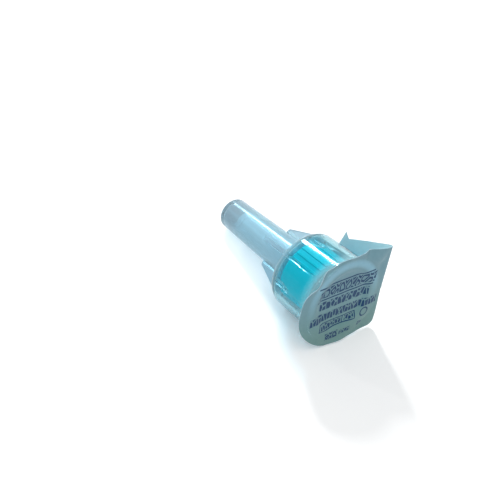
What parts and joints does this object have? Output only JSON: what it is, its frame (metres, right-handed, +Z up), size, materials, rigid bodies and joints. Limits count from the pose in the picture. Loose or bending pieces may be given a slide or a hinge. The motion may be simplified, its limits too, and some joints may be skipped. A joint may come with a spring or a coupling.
{
  "type": "pen needle",
  "caption": "Pen needle sealed in a translucent finned cap with a paper seal and folded pull tab, lying on its side.",
  "frame": {"origin": "on the surface it lies on, under the middle of the part's box", "axes": "+Z up, +Y along the needle from the sealed mouth towards the cap's closed end, +X towards the folded pull tab"},
  "size_m": [0.0191, 0.0344, 0.0176],
  "materials": {
    "cap_plastic": "translucent moulded, glossy",
    "shield_plastic": "translucent moulded",
    "hub_plastic": "moulded, satin gloss",
    "needle_steel": "drawn and polished",
    "adhesive_resin": "cured resin",
    "seal_paper": null
  },
  "bodies": {
    "root": {"outer_cap": "cap_plastic", "inner_shield": "shield_plastic", "hub": "hub_plastic", "cannula": "needle_steel", "adhesive": "adhesive_resin", "seal": "seal_paper"}
  },
  "joints": []
}
